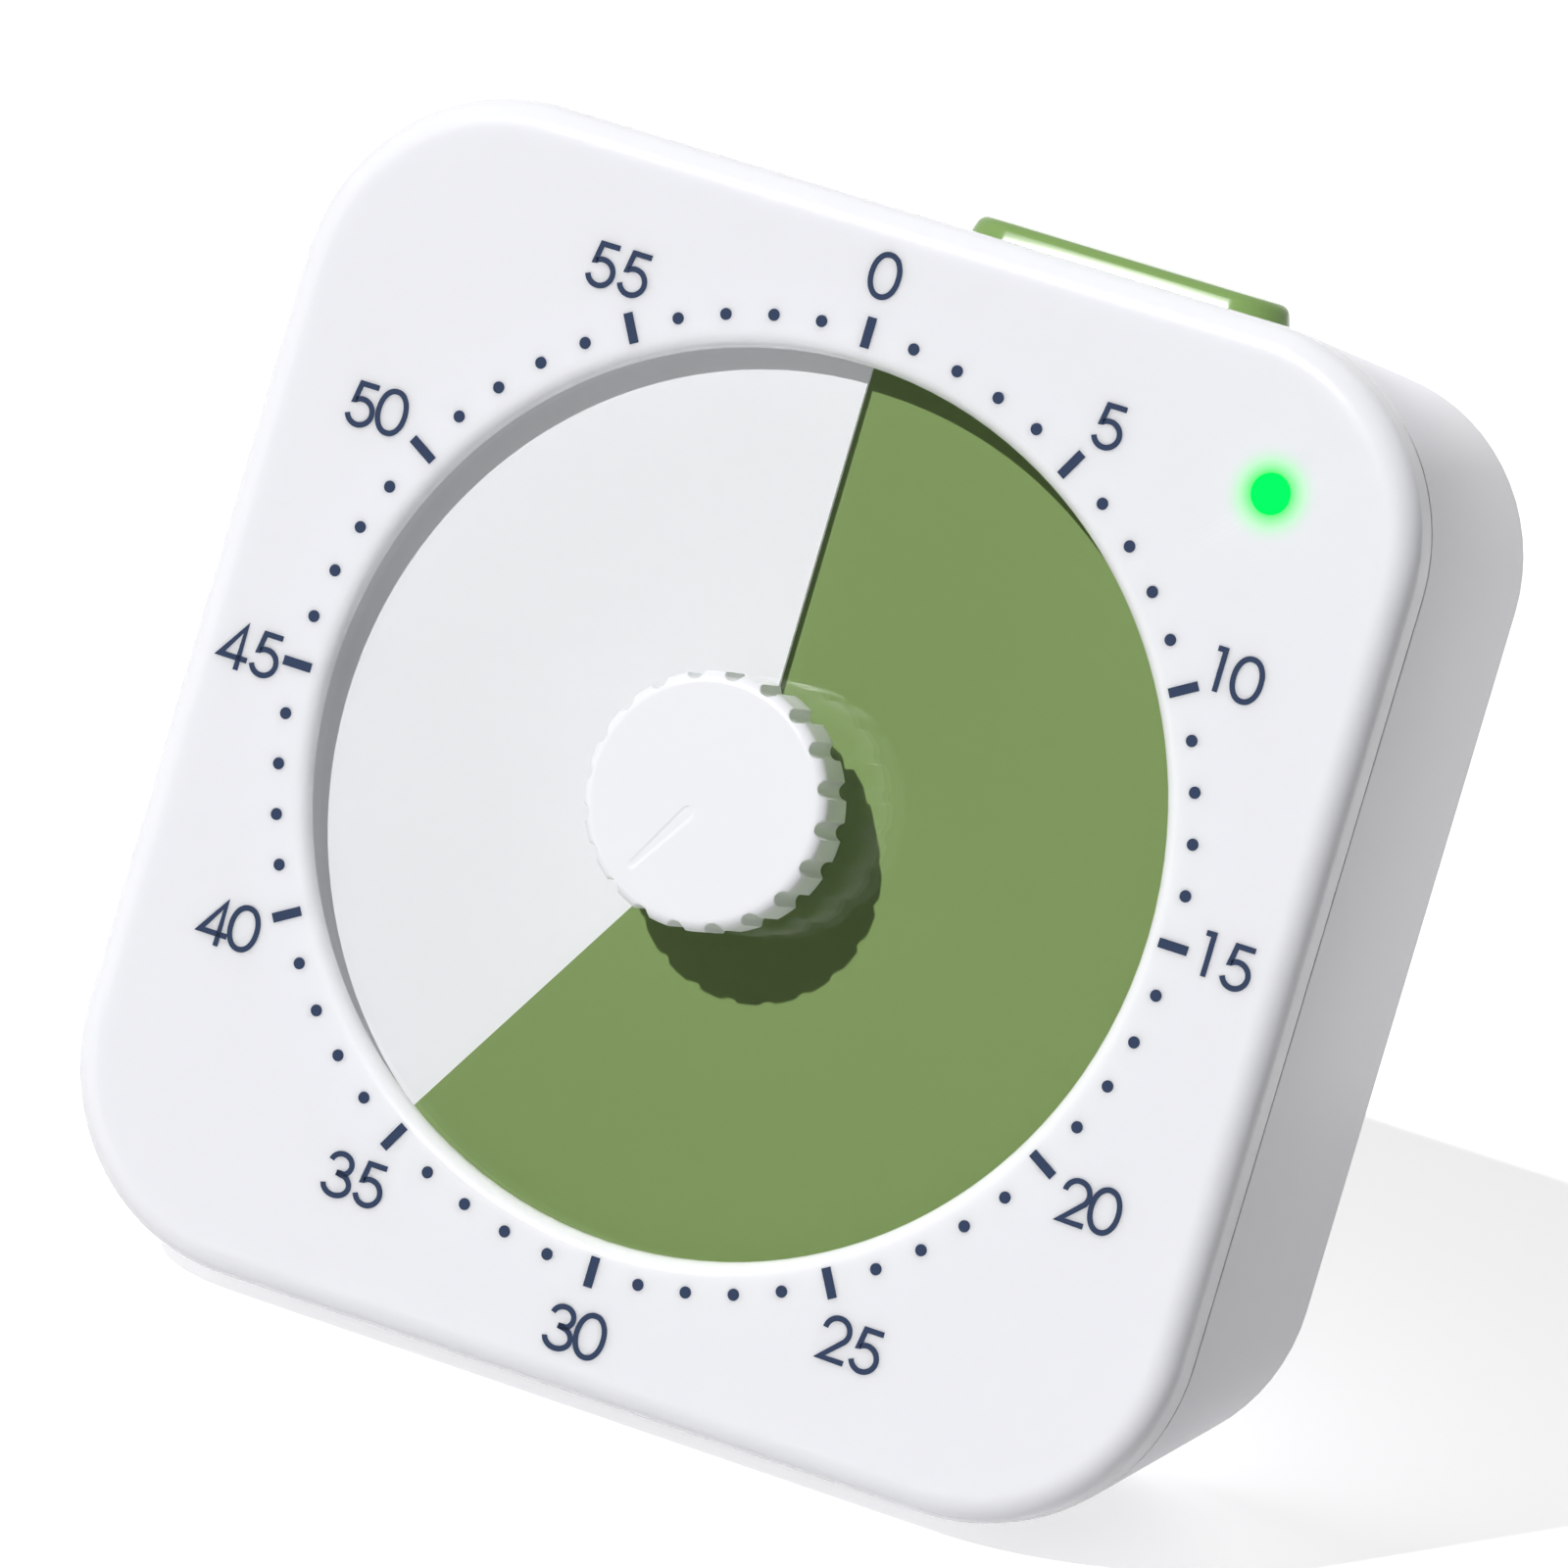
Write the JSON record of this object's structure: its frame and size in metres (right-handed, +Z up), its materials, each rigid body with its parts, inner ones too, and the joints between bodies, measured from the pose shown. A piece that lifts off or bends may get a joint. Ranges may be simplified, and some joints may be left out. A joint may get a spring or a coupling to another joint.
{
  "type": "visual countdown timer",
  "caption": "Square desk timer: a green disc winds out of a white dial to show the minutes left, with a fluted knob, a top button and a battery door.",
  "frame": {"origin": "centre of the base pad's underside, which is what the timer stands on", "axes": "+Z up, +Y towards the back, +X to the right of a viewer facing the dial; the dial leans back by 11 degrees"},
  "size_m": [0.14, 0.0762, 0.1396],
  "materials": {
    "face_plastic": "fine satin moulded finish",
    "clear_lens": "polished clear acrylic",
    "light_plastic": "clear green light pipe",
    "led_package": "moulded",
    "circuit_board": "solder mask",
    "inner_plastic": "plain moulded",
    "dial_white": "smooth sheet",
    "dial_green": "printed glossy sheet",
    "knob_white": "polished moulded",
    "steel": "plated",
    "gear_plastic": "acetal",
    "magnet": "sintered, coated",
    "copper_wire": "enamelled wire",
    "black_plastic": "moulded",
    "housing_white": "fine satin moulded finish",
    "pad_rubber": "moulded",
    "button_green": "satin gloss moulded",
    "cell_body": "printed sleeve",
    "wire_red": "insulated",
    "wire_blue": "insulated",
    "wire_yellow": "insulated",
    "wire_green": "insulated",
    "slider_grey": "moulded"
  },
  "bodies": {
    "case": {"front_cover": "face_plastic", "lens": "clear_lens", "light_pipe": "light_plastic", "status_led": "led_package", "led_board": "circuit_board", "dial_cup": "inner_plastic", "dial_sheet": "dial_white", "cup_screws": "steel", "movement_base": "inner_plastic", "movement_cover": "inner_plastic", "movement_screws": "steel", "stator": "steel", "coil_core": "steel", "coil_bobbin": "black_plastic", "coil_winding": "copper_wire", "rear_housing": "housing_white", "base_pad": "pad_rubber", "case_screws": "steel", "button_springs": "steel", "switch_board": "circuit_board", "tact_switch": "black_plastic", "switch_screws": "steel", "battery_cells": "cell_body", "contact_springs": "steel", "contact_plates": "steel", "main_board": "circuit_board", "board_components": "black_plastic", "buzzer": "black_plastic", "volume_switch": "steel", "board_screws": "steel", "battery_leads": "wire_red", "motor_leads": "wire_blue", "switch_leads": "wire_yellow", "light_leads": "wire_green"},
    "knob_and_spindle": {"knob": "knob_white", "spindle": "gear_plastic", "minute_wheel": "gear_plastic", "clutch_spring": "steel", "spindle_clips": "steel"},
    "disc": {"colour_disc": "dial_green", "disc_hub": "inner_plastic"},
    "third": {"third_wheel": "gear_plastic"},
    "fourth": {"fourth_wheel": "gear_plastic"},
    "rotor": {"step_rotor": "magnet"},
    "button": {"top_button": "button_green"},
    "plunger": {"switch_plunger": "black_plastic"},
    "door": {"battery_door": "housing_white"},
    "slider": {"volume_slider": "slider_grey"}
  },
  "joints": [
    {"name": "knob_turn", "type": "hinge", "parent": "case", "child": "knob_and_spindle", "pos_m": [0, -0.01594, 0.07147], "axis": [0, 0.9816, -0.1908], "range_deg": [-212.4, 147.6]},
    {"name": "disc_rise", "type": "slide", "parent": "knob_and_spindle", "child": "disc", "axis": [0, -0.9816, 0.1908], "range_m": [-0.00152, 0.00108]},
    {"name": "third_turn", "type": "hinge", "parent": "case", "child": "third", "pos_m": [-0.01032, -0.00177, 0.0537], "axis": [0, 0.9816, -0.1908], "range_deg": [-739, 1063]},
    {"name": "fourth_turn", "type": "hinge", "parent": "case", "child": "fourth", "pos_m": [0.00416, -0.00251, 0.04989], "axis": [0, 0.9816, -0.1908], "range_deg": [-4249, 2953]},
    {"name": "rotor_turn", "type": "hinge", "parent": "case", "child": "rotor", "pos_m": [0.01381, -0.00471, 0.03861], "axis": [0, 0.9816, -0.1908], "range_deg": [-11809, 16993]},
    {"name": "button_press", "type": "slide", "parent": "case", "child": "button", "axis": [0, -0.1908, -0.9816], "range_m": [0, 0.0012], "stiffness_N_per_m": 1200, "springref_m": -0.001, "deforming": ["button_springs"]},
    {"name": "plunger_press", "type": "slide", "parent": "case", "child": "plunger", "axis": [0, -0.1908, -0.9816], "range_m": [0, 0.0003]},
    {"name": "slider_move", "type": "slide", "parent": "case", "child": "slider", "axis": [1, 0, 0], "range_m": [0, 0.004]},
    {"name": "door_swing", "type": "hinge", "parent": "case", "child": "door", "pos_m": [0, 0.02572, 0.01326], "axis": [-1, 0, 0], "range_deg": [0, 70]}
  ],
  "couplings": [
    {"joint": "disc_rise", "follows": "knob_turn", "m_per_rad": 0.00038197},
    {"joint": "third_turn", "follows": "knob_turn", "ratio": -5},
    {"joint": "fourth_turn", "follows": "knob_turn", "ratio": 20},
    {"joint": "rotor_turn", "follows": "knob_turn", "ratio": -80},
    {"joint": "plunger_press", "follows": "button_press", "ratio": 0.25}
  ]
}
